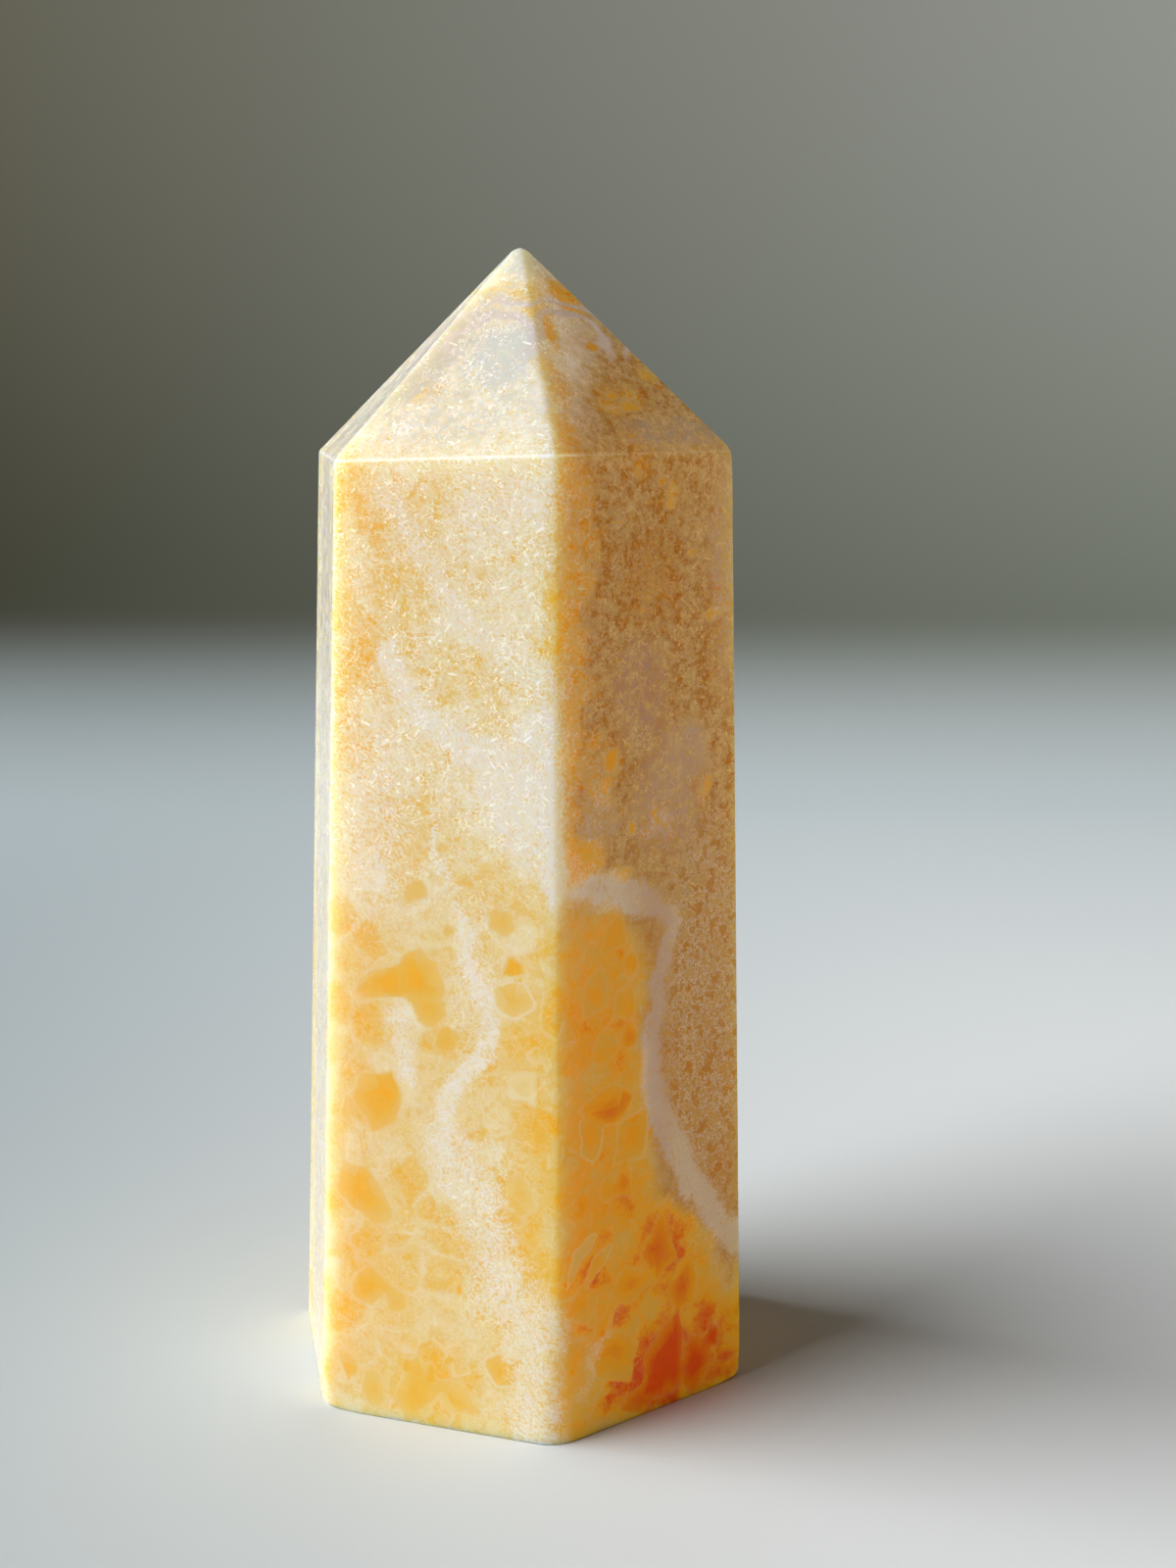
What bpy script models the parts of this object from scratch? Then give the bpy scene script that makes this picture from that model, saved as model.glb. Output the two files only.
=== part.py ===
"""Orange calcite tower: one piece of stone, ground into a six-sided column with a six-sided point.

Units are metres, +Z up. The origin is the middle of the base, on the surface that the tower
stands on. Directions round the column are compass angles in degrees, counted from the front (-Y)
towards the right (+X).
"""

import math

import bmesh
import bpy
from mathutils import Vector

MM = 0.001

# Heights in millimetres
TOWER_HEIGHT = 90.0
BLANK_WIDTH = 60.0

# The six hand-ground sides. Each side has its direction, its distance from the middle at the
# base and at the shoulder, the height of its shoulder, and the facet of the point above it:
# the facet's direction, and its angle from the vertical. No two sides are quite alike.
SIDES = {
    "left":        dict(faces=-81.7, base=16.95, shoulder=15.05, height=74.1, point=-81.7, slope=42.9),
    "front_left":  dict(faces=-21.8, base=16.95, shoulder=15.35, height=74.45, point=-24.1, slope=43.5),
    "front_right": dict(faces=39.6, base=16.9, shoulder=15.15, height=74.8, point=39.7, slope=43.6),
    "right":       dict(faces=98.2, base=16.95, shoulder=15.3, height=74.8, point=98.2, slope=44.3),
    "back_right":  dict(faces=158.2, base=16.95, shoulder=15.25, height=74.6, point=158.2, slope=44.4),
    "back_left":   dict(faces=-141.8, base=16.95, shoulder=15.3, height=74.1, point=-141.8, slope=43.7),
}

# Wear, in millimetres and degrees. The foot of the front edge is rubbed round, less and less up
# to where the edge is sharp again. Two corners of the base and two of the shoulder are knocked
# back: each is cut along a plane that faces outwards, tilted down or up.
RUBBED_EDGE_FACES = 8.9
RUBBED_EDGE_RADIUS = 2.7
RUBBED_EDGE_TOP = 16.0
RUBBED_EDGE_TURNS = (-15.0, 0.0, 15.0)
SIDES_MEET_AT = 60.0
KNOCKED_CORNERS = (
    dict(faces=-51.8, height=0.0, tilt=-48.0, depth=0.5),
    dict(faces=68.9, height=0.0, tilt=-45.0, depth=0.45),
    dict(faces=-51.8, height=74.1, tilt=30.0, depth=0.16),
    dict(faces=68.9, height=74.8, tilt=30.0, depth=0.3),
)

# How far each kind of edge is rounded over, in millimetres. Edges are told apart by how high
# their ends are: near the base, near the tip, or in between.
ROUND_WIDTHS = {"base": 0.6, "side": 0.34, "shoulder": 0.3, "point": 0.3, "tip": 0.2}
ROUND_SEGMENTS = 3
NEAR = 2.0
UPRIGHT = 0.98


def heading(degrees):
    """Level unit vector that points along a compass angle."""
    angle = math.radians(degrees)
    return Vector((math.sin(angle), -math.cos(angle), 0.0))


def grind(blank, point, normal):
    """Take off all stone on the normal's side of a plane and leave a closed flat facet."""
    everything = blank.verts[:] + blank.edges[:] + blank.faces[:]
    cut = bmesh.ops.bisect_plane(
        blank, geom=everything, plane_co=point, plane_no=normal, clear_outer=True, dist=1e-7)
    rim = [item for item in cut["geom_cut"] if isinstance(item, bmesh.types.BMEdge)]
    bmesh.ops.edgeloop_fill(blank, edges=rim)


def rough_blank():
    """Block of stone, larger than the tower all round and flat at the base."""
    blank = bmesh.new()
    bmesh.ops.create_cube(blank, size=1.0)
    size = Vector((BLANK_WIDTH, BLANK_WIDTH, TOWER_HEIGHT * 1.2)) * MM
    bmesh.ops.scale(blank, vec=size, verts=blank.verts)
    bmesh.ops.translate(blank, vec=(0.0, 0.0, size.z / 2), verts=blank.verts)
    return blank


def grind_sides(blank):
    """Six sides, each leaning in a little from the base to the shoulder."""
    for side in SIDES.values():
        lean = (side["base"] - side["shoulder"]) / side["height"]
        outward = heading(side["faces"])
        grind(blank, outward * side["base"] * MM, outward + Vector((0.0, 0.0, lean)))


def grind_point(blank):
    """Six facets that meet in the point, then the small flat that blunts its tip."""
    for side in SIDES.values():
        outward = heading(side["point"])
        foot = heading(side["faces"]) * side["shoulder"] + Vector((0.0, 0.0, side["height"]))
        rise = math.tan(math.radians(side["slope"]))
        grind(blank, foot * MM, outward + Vector((0.0, 0.0, rise)))
    grind(blank, Vector((0.0, 0.0, TOWER_HEIGHT)) * MM, Vector((0.0, 0.0, 1.0)))


def corner_towards(blank, direction, height):
    """The stone's own corner that reaches farthest along a direction, near one height."""
    near = [corner.co.copy() for corner in blank.verts if abs(corner.co.z - height) < NEAR * MM]
    return max(near, key=lambda place: place.dot(direction))


def rub_front_edge(blank):
    """Narrow facets that turn round the foot of the front edge and run out higher up."""
    towards = heading(RUBBED_EDGE_FACES)
    foot = corner_towards(blank, towards, 0.0)
    crown = corner_towards(blank, towards, SIDES["front_right"]["height"] * MM)
    edge = crown - foot
    end_of_wear = foot + edge * (RUBBED_EDGE_TOP * MM / edge.z)
    half_corner = math.cos(math.radians(SIDES_MEET_AT / 2))
    for turn in RUBBED_EDGE_TURNS:
        outward = heading(RUBBED_EDGE_FACES + turn)
        depth = RUBBED_EDGE_RADIUS * MM * (math.cos(math.radians(turn)) / half_corner - 1.0)
        rise = end_of_wear - (foot - outward * depth)
        grind(blank, end_of_wear, outward - Vector((0.0, 0.0, rise.dot(outward) / rise.z)))


def knock_corners(blank):
    """Small flats across the corners that are knocked back."""
    for corner in KNOCKED_CORNERS:
        tilt = math.radians(corner["tilt"])
        normal = heading(corner["faces"]) * math.cos(tilt) + Vector((0.0, 0.0, math.sin(tilt)))
        sharp = corner_towards(blank, normal, corner["height"] * MM)
        grind(blank, sharp - normal * corner["depth"] * MM, normal)


def centre_on_base(blank):
    """Put the origin under the middle of the tower's own box."""
    across = [corner.co.x for corner in blank.verts]
    deep = [corner.co.y for corner in blank.verts]
    middle = Vector((min(across) + max(across), min(deep) + max(deep), 0.0)) / 2
    bmesh.ops.translate(blank, vec=-middle, verts=blank.verts)


def kind_of_edge(edge):
    """Name of an edge's kind, from where its ends are and which way it runs."""
    low, high = sorted(corner.co.z for corner in edge.verts)
    run = (edge.verts[1].co - edge.verts[0].co).normalized()
    if high < NEAR * MM:
        return "base"
    if low > (TOWER_HEIGHT - NEAR) * MM:
        return "tip"
    if abs(run.z) > UPRIGHT:
        return "side"
    return "point" if high > (TOWER_HEIGHT - NEAR) * MM else "shoulder"


def mark_round_widths(blank):
    """Give every edge its share of the widest rounding, by its kind."""
    widest = max(ROUND_WIDTHS.values())
    weight = blank.edges.layers.float.new("bevel_weight_edge")
    for edge in blank.edges:
        edge[weight] = ROUND_WIDTHS[kind_of_edge(edge)] / widest


def stone_material():
    """Polished calcite: honey-coloured, bright and only a little rough."""
    material = bpy.data.materials.new("orange_calcite_polished")
    material.use_nodes = True
    shader = material.node_tree.nodes["Principled BSDF"]
    shader.inputs["Base Color"].default_value = (0.78, 0.53, 0.22, 1.0)
    shader.inputs["Roughness"].default_value = 0.2
    shader.inputs["Metallic"].default_value = 0.0
    shader.inputs["IOR"].default_value = 1.58
    return material


def make_tower():
    """The whole tower, as one closed solid with its edges rounded over."""
    blank = rough_blank()
    grind_sides(blank)
    grind_point(blank)
    rub_front_edge(blank)
    knock_corners(blank)
    centre_on_base(blank)
    mark_round_widths(blank)
    bmesh.ops.recalc_face_normals(blank, faces=blank.faces)
    mesh = bpy.data.meshes.new("tower")
    blank.to_mesh(mesh)
    blank.free()

    tower = bpy.data.objects.new("tower", mesh)
    bpy.context.scene.collection.objects.link(tower)
    mesh.materials.append(stone_material())

    rounding = tower.modifiers.new("rounded_edges", "BEVEL")
    rounding.limit_method = "WEIGHT"
    rounding.offset_type = "WIDTH"
    rounding.width = max(ROUND_WIDTHS.values()) * MM
    rounding.segments = ROUND_SEGMENTS
    rounding.use_clamp_overlap = True
    rounding.harden_normals = False
    return tower


for leftover in list(bpy.data.objects):
    bpy.data.objects.remove(leftover, do_unlink=True)
make_tower()
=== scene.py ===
"""Orange calcite tower: the looks of the polished stone, on a pale floor beside a wide window.

Lengths are in millimetres until they reach Blender, which works in metres. The frame is the
part's own: +Z up, origin in the middle of the base, front towards -Y. Directions round the
tower are compass degrees from the front towards the right (+X).
"""

import math
from functools import partial

import bpy
import numpy as np
from mathutils import Matrix, Vector, noise


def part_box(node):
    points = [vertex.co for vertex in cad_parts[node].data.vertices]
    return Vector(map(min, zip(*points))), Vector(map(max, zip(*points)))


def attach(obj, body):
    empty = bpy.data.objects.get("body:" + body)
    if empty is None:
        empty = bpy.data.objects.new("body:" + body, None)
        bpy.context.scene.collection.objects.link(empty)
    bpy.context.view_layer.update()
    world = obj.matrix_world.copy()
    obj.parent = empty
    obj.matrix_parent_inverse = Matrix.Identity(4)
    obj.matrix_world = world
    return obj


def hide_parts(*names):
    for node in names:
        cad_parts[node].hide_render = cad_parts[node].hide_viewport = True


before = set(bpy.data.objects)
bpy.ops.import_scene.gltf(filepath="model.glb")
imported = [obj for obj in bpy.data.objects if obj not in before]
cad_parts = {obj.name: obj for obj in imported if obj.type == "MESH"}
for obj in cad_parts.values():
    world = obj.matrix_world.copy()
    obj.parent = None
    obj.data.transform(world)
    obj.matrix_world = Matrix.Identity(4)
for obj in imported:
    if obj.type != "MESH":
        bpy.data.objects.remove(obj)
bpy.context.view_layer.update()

MM = 0.001
SEED = 20

# The camera, as the photograph was taken: where it stands, and how it is turned
CAMERA_AT = (-0.142, -186.894, 81.91)
CAMERA_DOWN = 10.336
CAMERA_TO_RIGHT = 1.784
CAMERA_ROLL = 0.331
CAMERA_LENS = 54.09
SENSOR = 36.0

# The six sides, anticlockwise from above, by the compass angle that each one faces
SIDE_FACES = {
    "left": -81.7,
    "front_left": -21.8,
    "front_right": 39.6,
    "right": 98.2,
    "back_right": 158.2,
    "back_left": -141.8,
}

# The stone's planes in their order: the sides, the facet of the point over each, base and tip
SIDE_COUNT = len(SIDE_FACES)
FACETS = list(SIDE_FACES) + [side + "_point" for side in SIDE_FACES]
SIDES = slice(0, SIDE_COUNT)
POINT = slice(SIDE_COUNT, 2 * SIDE_COUNT)
BASE = len(FACETS)
TIP = BASE + 1
APEX_FACETS = ("front_left_point", "front_right_point", "back_right_point")

# A facet is read from the solid where it is larger than this, in square millimetres. How far
# its normal points up tells a side from a facet of the point, and that from the tip.
SMALLEST_FACET = 25.0
SAME_WAY = 0.9999
SIDE_TILT = 0.3
LEVEL_TILT = 0.95

# How softly the stone's edges are rubbed over, in millimetres
SIDE_EDGE = 0.17
POINT_EDGE = 0.16
SHOULDER_EDGE = 0.15
BASE_EDGE = 0.08
TIP_EDGE = 0.42
FRONT_FOOT = dict(softness=1.3, top=15.0, faces=8.9, starts=13.5, reach=5.0)
WORN_CORNERS = (
    dict(faces=-51.8, height=0.0, reach=2.2, softness=0.7),
    dict(faces=68.9, height=0.0, reach=1.8, softness=0.6),
    dict(faces=-51.8, height=74.1, reach=1.2, softness=0.25),
    dict(faces=68.9, height=74.8, reach=1.6, softness=0.5),
)
CORNER_OUT = 19.5
CORNER_LEAN = 0.045

# How far the flat sides dip between high spots left by the wheel, and how far those are apart
LAPPING_DEPTH = 0.014
LAPPING_LENGTH = 6.0
LAPPING_ABOVE = 1.0

# Rows and columns of the surface's mesh, and the power that draws them together at every edge
COLUMNS_ON_SIDE = 50
ROWS = {"base": 22, "side": 186, "point": 62, "tip": 5}
CLOSER = {"base": 1.6, "side": 1.35, "point": 1.4, "column": 1.5}

# The rubbed surface is looked for along rays from the axis, between two shares of the sharp one
AXIS_LOW = 10.0
AXIS_HIGH = 78.0
NEAREST = 0.6
FARTHEST = 1.02
HALVINGS = 26


def stand(name, data):
    """Put a new object into the scene."""
    made = bpy.data.objects.new(name, data)
    bpy.context.scene.collection.objects.link(made)
    return made


def heading(degrees):
    """Level unit vector that points along a compass angle."""
    angle = math.radians(degrees)
    return np.array([math.sin(angle), -math.cos(angle), 0.0])


def smooth(value):
    """Ease from 0 to 1 as the value goes from 0 to 1."""
    clipped = np.clip(value, 0.0, 1.0)
    return clipped * clipped * (3.0 - 2.0 * clipped)


# The solid's flat facets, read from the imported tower


def flat_facets(mesh):
    """Outward normals and distances from the origin of the mesh's large flat facets."""
    found = []
    for polygon in mesh.polygons:
        for facet in found:
            if facet["normal"].dot(polygon.normal) > SAME_WAY:
                facet["area"] += polygon.area
                break
        else:
            found.append(dict(normal=polygon.normal.copy(), area=polygon.area, at=polygon.center.copy()))
    large = [facet for facet in found if facet["area"] > SMALLEST_FACET * MM * MM]
    normals = np.array([facet["normal"] for facet in large])
    distances = np.array([facet["normal"].dot(facet["at"]) for facet in large]) / MM
    return normals, distances


def nearest_facet(normals, rows, degrees):
    """Number of the facet, among some rows, that faces a compass angle best."""
    return max(rows, key=lambda row: normals[row] @ heading(degrees))


def meet(normals, distances, *rows):
    """Point where three facets meet."""
    return np.linalg.solve(normals[list(rows)], distances[list(rows)])


def sort_facets(mesh, height):
    """The tower's planes by their work: six sides, six facets of the point, base and tip."""
    normals, distances = flat_facets(mesh)
    upright = [row for row, normal in enumerate(normals) if abs(normal[2]) < SIDE_TILT]
    sloping = [row for row, normal in enumerate(normals) if SIDE_TILT <= normal[2] < LEVEL_TILT]
    sides = [nearest_facet(normals, upright, angle) for angle in SIDE_FACES.values()]
    points = [nearest_facet(normals, sloping, angle) for angle in SIDE_FACES.values()]
    level = np.array([[0.0, 0.0, -1.0], [0.0, 0.0, 1.0]])
    return (
        np.vstack([normals[sides], normals[points], level]),
        np.concatenate([distances[sides], distances[points], [0.0, height]]),
    )


# The surface: sharp facets first, then every edge rubbed over


def soft_largest(distances, softness):
    """Largest of several distances, blended where more than one is within the softness."""
    largest = distances.max(axis=0)
    blended = np.sqrt((np.maximum(distances + softness, 0.0) ** 2).sum(axis=0)) - softness
    return np.where(largest > -softness, blended, largest)


def wear(points, edge):
    """Softness of an edge at each point: more of it near the corners that are knocked back."""
    softness = np.full(len(points), edge)
    for corner in WORN_CORNERS:
        out = CORNER_OUT - CORNER_LEAN * corner["height"]
        place = heading(corner["faces"]) * out + np.array([0.0, 0.0, corner["height"]])
        away = np.linalg.norm(points - place, axis=1)
        softness += corner["softness"] * np.exp(-((away / corner["reach"]) ** 2))
    return softness


def stone_distance(points, normals, distances):
    """How far each point is outside the rubbed stone, in millimetres; inside is negative."""
    apart = (points @ normals.T - distances).T
    forward = points @ heading(FRONT_FOOT["faces"])
    near_front = smooth((forward - FRONT_FOOT["starts"]) / FRONT_FOOT["reach"])
    low = smooth(1.0 - points[:, 2] / FRONT_FOOT["top"])
    side_softness = wear(points, SIDE_EDGE) + FRONT_FOOT["softness"] * low * near_front
    sides = soft_largest(apart[SIDES], side_softness)
    point = soft_largest(apart[POINT], POINT_EDGE)
    body = soft_largest(np.array([sides, point]), wear(points, SHOULDER_EDGE))
    body = soft_largest(np.array([body, apart[BASE]]), wear(points, BASE_EDGE))
    return soft_largest(np.array([body, apart[TIP]]), TIP_EDGE)


def graded(count, power):
    """Steps from 0 to 1, closer together at both ends."""
    even = np.linspace(0.0, 1.0, count + 1)
    return np.where(even < 0.5, 0.5 * (2 * even) ** power, 1.0 - 0.5 * (2 - 2 * even) ** power)


def sharp_grid(normals, distances):
    """Rows of points over the sharp solid, from the middle of the base up to the tip."""
    foot, shoulder, crown = [], [], []
    for side in range(SIDE_COUNT):
        after = (side + 1) % SIDE_COUNT
        own_point, next_point = side + SIDE_COUNT, after + SIDE_COUNT
        foot.append(meet(normals, distances, side, after, BASE))
        one = meet(normals, distances, side, after, own_point)
        other = meet(normals, distances, side, after, next_point)
        shoulder.append((one + other) / 2)
        crown.append(meet(normals, distances, own_point, next_point, TIP))
    foot, shoulder, crown = np.array(foot), np.array(shoulder), np.array(crown)
    centre, peak = np.zeros(3), crown.mean(axis=0)
    outwards = 1.0 - (1.0 - np.linspace(0.0, 1.0, ROWS["base"] + 1)) ** CLOSER["base"]
    stages = (
        (centre, foot, outwards[1:]),
        (foot, shoulder, graded(ROWS["side"], CLOSER["side"])[1:]),
        (shoulder, crown, graded(ROWS["point"], CLOSER["point"])[1:]),
        (crown, peak, np.linspace(0.0, 1.0, ROWS["tip"] + 1)[1:-1]),
    )
    rings = [start + (end - start) * step for start, end, steps in stages for step in steps]
    columns = graded(COLUMNS_ON_SIDE, CLOSER["column"])[:-1, None]
    rows = []
    for ring in rings:
        starts = np.roll(ring, 1, axis=0)[:, None, :]
        spans = ring[:, None, :] - starts
        rows.append((starts + spans * columns).reshape(-1, 3))
    return np.array(rows), centre, peak


def rub_over(targets, normals, distances):
    """Move points of the sharp solid along rays from the axis until they lie on the rubbed one."""
    level = np.clip(targets[:, 2], AXIS_LOW, AXIS_HIGH)
    apex = meet(normals, distances, *(FACETS.index(name) for name in APEX_FACETS))
    origins = np.stack([apex[0] * level / apex[2], apex[1] * level / apex[2], level], axis=1)
    rays = targets - origins
    low = np.full(len(targets), NEAREST)
    high = np.full(len(targets), FARTHEST)
    for _ in range(HALVINGS):
        middle = (low + high) / 2
        outside = stone_distance(origins + rays * middle[:, None], normals, distances) > 0
        high = np.where(outside, middle, high)
        low = np.where(outside, low, middle)
    return origins + rays * low[:, None]


def lap_by_hand(points, normals, distances):
    """Let the flat facets dip a little, as a stone that was held to the wheel by hand."""
    dips = np.array([noise.noise(Vector(point) / LAPPING_LENGTH) for point in points])
    closest = (points @ normals[:BASE].T - distances[:BASE]).argmax(axis=1)
    depth = LAPPING_DEPTH * (1.0 + dips) * (points[:, 2] > LAPPING_ABOVE)
    return points - normals[closest] * depth[:, None]


def tower_mesh(normals, distances):
    """The whole polished surface as one closed mesh, and its points in millimetres."""
    rows, centre, peak = sharp_grid(normals, distances)
    count, around = rows.shape[:2]
    points = lap_by_hand(rub_over(rows.reshape(-1, 3), normals, distances), normals, distances)
    points = np.vstack([points, centre, rub_over(peak[None, :], normals, distances)])
    bottom, top = len(points) - 2, len(points) - 1
    last = (count - 1) * around
    faces = []
    for column in range(around):
        after = (column + 1) % around
        faces.append((bottom, after, column))
        faces.append((top, last + column, last + after))
        for row in range(count - 1):
            low, high = row * around, (row + 1) * around
            faces.append((low + column, low + after, high + after, high + column))
    mesh = bpy.data.meshes.new("calcite_tower")
    mesh.from_pydata((points * MM).tolist(), [], faces)
    mesh.update()
    mesh.shade_smooth()
    return mesh, points


# What grew in the stone, placed on its facets. Each place is millimetres across from the facet's
# middle line, to the right, and millimetres up from the base. Tone is how deep the orange is.

# Crystals: place, width and height, tone, and where given, degrees of turn and milkiness of rim
CRYSTALS = {
    "front_left": (
        ((-0.8, 49.6), (1.0, 1.0), 0.53),
        ((-1.1, 47.2), (1.2, 1.0), 0.53), ((-1.8, 45.7), (1.6, 1.2), 0.51), ((0.5, 45.7), (1.2, 1.4), 0.5),
        ((3.8, 44.5), (1.4, 1.2), 0.51), ((-4.9, 41.4), (1.8, 1.4), 0.51), ((-1.8, 42.3), (2.2, 1.5), 0.5),
        ((5.2, 40.5), (2.4, 2.4), 0.56), ((0.9, 39.4), (1.2, 1.5), 0.6),
        ((6.3, 37.1), (1.8, 1.3), 0.72),  # orange triangle
        ((6.1, 34.7), (3.4, 2.9), 0.53, 0, 1.0),  # rimmed crystal
        ((-4.3, 34.9), (5.2, 2.6), 0.6, 16),  # large honey block, left
        ((-1.4, 35.7), (4.2, 4.8), 0.6, 8),  # large honey block, right
        ((-0.7, 33.2), (2.8, 3.2), 0.58, -12),  # large honey block, foot
        ((0.8, 31.0), (2.0, 2.3), 0.61), ((4.2, 29.5), (1.5, 2.0), 0.58),
        ((6.9, 28.0), (2.6, 2.2), 0.36),  # pale crystal at the front edge
        ((-4.8, 25.8), (4.3, 5.0), 0.64, -20),  # broad orange crystal
        ((-6.2, 18.2), (3.4, 6.6), 0.58, 38),  # slanting crystal
        ((6.8, 19.6), (2.0, 3.4), 0.59, 12),  # peach crystal
        ((5.6, 17.6), (2.6, 1.4), 0.6), ((-5.6, 10.7), (3.4, 3.3), 0.6), ((-3.4, 9.8), (1.8, 1.9), 0.56),
        ((-7.2, 3.9), (1.5, 2.0), 0.59), ((-5.3, 2.3), (2.0, 3.6), 0.53), ((1.9, 11.5), (0.9, 0.9), 0.85),
        ((-1.6, 2.9), (3.6, 5.2), 0.56, -10),  # tan crystal at the foot
        ((-0.4, 4.2), (0.9, 3.0), 0.7),  # narrow orange crystal
        ((-2.5, 4.4), (0.9, 2.0), 0.64),
        ((1.6, 2.7), (2.6, 3.0), 0.59),  # low honey crystal
        ((5.5, 5.6), (2.8, 2.8), 0.62, 0, 0.8),  # rimmed foot crystal
    ),
    "front_right": (
        ((1.2, 72.7), (0.9, 0.9), 0.75),
        ((2.1, 71.0), (0.9, 0.7), 0.75), ((-3.1, 69.8), (0.8, 0.6), 0.72), ((4.2, 67.2), (1.2, 0.8), 0.72),
        ((3.3, 66.1), (0.7, 0.7), 0.75), ((-0.9, 63.3), (0.6, 0.8), 0.78), ((6.3, 62.4), (1.6, 1.2), 0.66),
        ((-4.2, 52.3), (1.4, 1.6), 0.72),  # orange triangle
        ((-4.6, 50.5), (1.0, 1.4), 0.8), ((0.1, 47.8), (0.7, 2.2), 0.82), ((1.5, 47.4), (0.6, 1.8), 0.82),
        ((-2.0, 47.1), (1.1, 1.2), 0.78), ((5.9, 49.4), (0.8, 1.8), 0.75),
        ((-6.6, 45.7), (2.0, 2.2), 0.74),  # orange patch over the vein
        ((-2.4, 43.6), (1.6, 0.8), 0.74), ((-3.8, 38.9), (2.4, 2.6), 0.73),
        ((-2.2, 36.4), (1.6, 2.2), 0.85), ((-5.9, 34.8), (2.6, 3.0), 0.74),
        ((-2.9, 33.6), (2.2, 2.2), 0.78), ((-2.3, 31.0), (1.7, 2.6), 0.84),
        ((-4.8, 30.5), (2.8, 3.0), 0.76),
        ((-4.4, 25.8), (4.4, 3.2), 0.84),  # bright orange block
        ((-6.5, 23.6), (2.6, 4.0), 0.72, 0, 0.9),  # outlined crystal
        ((-2.2, 22.8), (3.6, 4.0), 0.8, 0, 0.5),
        ((-4.8, 19.3), (1.8, 2.1), 0.78),  # yellow bead crystal
        ((-3.0, 19.7), (1.8, 3.0), 0.86),
        ((-5.8, 13.6), (1.2, 3.6), 0.72, -45, 0.7),  # slanting yellow crystal
        ((-7.4, 15.0), (1.1, 3.2), 0.68, -50, 0.7),
        ((-7.4, 10.6), (3.0, 3.0), 0.73),  # round yellow crystal
        ((-5.0, 8.6), (1.4, 4.0), 0.82, -38), ((-2.6, 11.0), (3.2, 3.4), 0.8),
        ((0.5, 12.9), (3.2, 4.8), 0.92),  # deep orange crystal
        ((3.2, 9.8), (3.4, 4.6), 0.86), ((-4.2, 5.6), (4.6, 4.0), 0.78, -30),
        ((0.8, 3.4), (4.4, 5.6), 1.0, -8),  # red orange corner
        ((-1.8, 1.4), (3.6, 2.4), 0.97), ((4.4, 2.6), (3.6, 4.6), 0.95), ((6.4, 4.5), (1.8, 2.0), 1.0),
        ((-8.0, 1.6), (2.0, 4.0), 0.68),
    ),
    "front_right_point": (
        ((0.8, 82.5), (1.4, 0.9), 0.75), ((-3.2, 83.8), (0.7, 1.2), 0.62), ((-0.5, 78.8), (1.3, 0.9), 0.78),
        ((0.8, 78.0), (2.2, 1.4), 0.66),
    ),
}

# Milky trails: the points that each passes through, its width at both ends, and how dense it is
TRAILS = {
    "front_left": (
        (((-4.2, 72.0), (-2.2, 68.8), (-0.6, 66.4),
          (1.6, 63.0), (5.0, 60.4), (9.0, 58.2)), (1.4, 2.2), 0.45),
        (((-4.0, 60.0), (-2.9, 57.7), (-0.5, 55.0), (2.2, 53.3), (6.0, 52.4)), (1.4, 2.6), 0.75),
        (((8.2, 54.0), (8.0, 50.0), (8.8, 46.0), (9.6, 42.8)), (4.0, 1.6), 0.75),
        (((5.0, 52.0), (5.6, 48.2)), (3.4, 3.0), 0.7),
        (((-0.2, 49.0), (0.0, 44.8), (1.2, 43.0), (2.0, 40.6)), (0.6, 0.8), 0.7),
        (((2.0, 41.0), (2.7, 36.0), (4.6, 32.8), (3.9, 30.2),
          (2.0, 28.2), (0.8, 25.8), (0.4, 23.0)), (1.2, 1.5), 0.75),
        (((-3.3, 32.6), (-3.0, 30.6), (-2.2, 28.0)), (1.4, 1.2), 0.6),
        (((0.8, 22.6), (3.4, 18.0), (5.6, 12.4), (9.0, 9.0)), (3.4, 3.6), 0.5),
        (((7.0, 7.6), (8.6, 3.4), (8.4, 0.2)), (2.6, 4.0), 0.5),
    ),
    "front_right": (
        (((-9.6, 45.4), (-6.6, 43.1), (-4.1, 42.3), (-0.6, 41.4), (2.4, 39.0)), (2.6, 1.5), 0.85),
        (((2.4, 39.0), (0.9, 35.5), (0.1, 31.0), (-0.4, 28.0), (0.1, 25.5),
          (1.4, 23.0), (3.4, 19.2), (5.6, 15.9), (7.8, 13.2), (9.6, 11.6)), (1.4, 2.2), 0.95),
        (((-3.6, 9.4), (-5.6, 7.0), (-7.6, 3.4)), (0.9, 0.8), 0.6),
        (((1.8, 8.0), (-0.8, 5.6), (-3.2, 3.6), (-7.0, 1.8)), (0.22, 0.22), 0.6),
    ),
    "right": ((((-9.2, 11.8), (-5.0, 9.0), (0.0, 9.8), (4.4, 15.0), (9.0, 21.0)), (2.2, 1.4), 0.8),),
    "back_right": (
        (((-9.0, 21.0), (-3.0, 25.0), (2.0, 36.0), (9.2, 39.5)), (1.4, 2.8), 0.8),
        (((-8.6, 60.0), (-2.0, 56.0), (8.6, 63.0)), (1.5, 2.4), 0.5),
    ),
    "back_left": ((((-9.2, 39.5), (-4.0, 45.0), (3.0, 44.0), (9.0, 52.0)), (2.8, 1.8), 0.85),),
    "left": ((((-9.0, 52.0), (-3.0, 58.0), (3.0, 57.0), (8.6, 61.5)), (1.8, 1.2), 0.6),),
}

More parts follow.
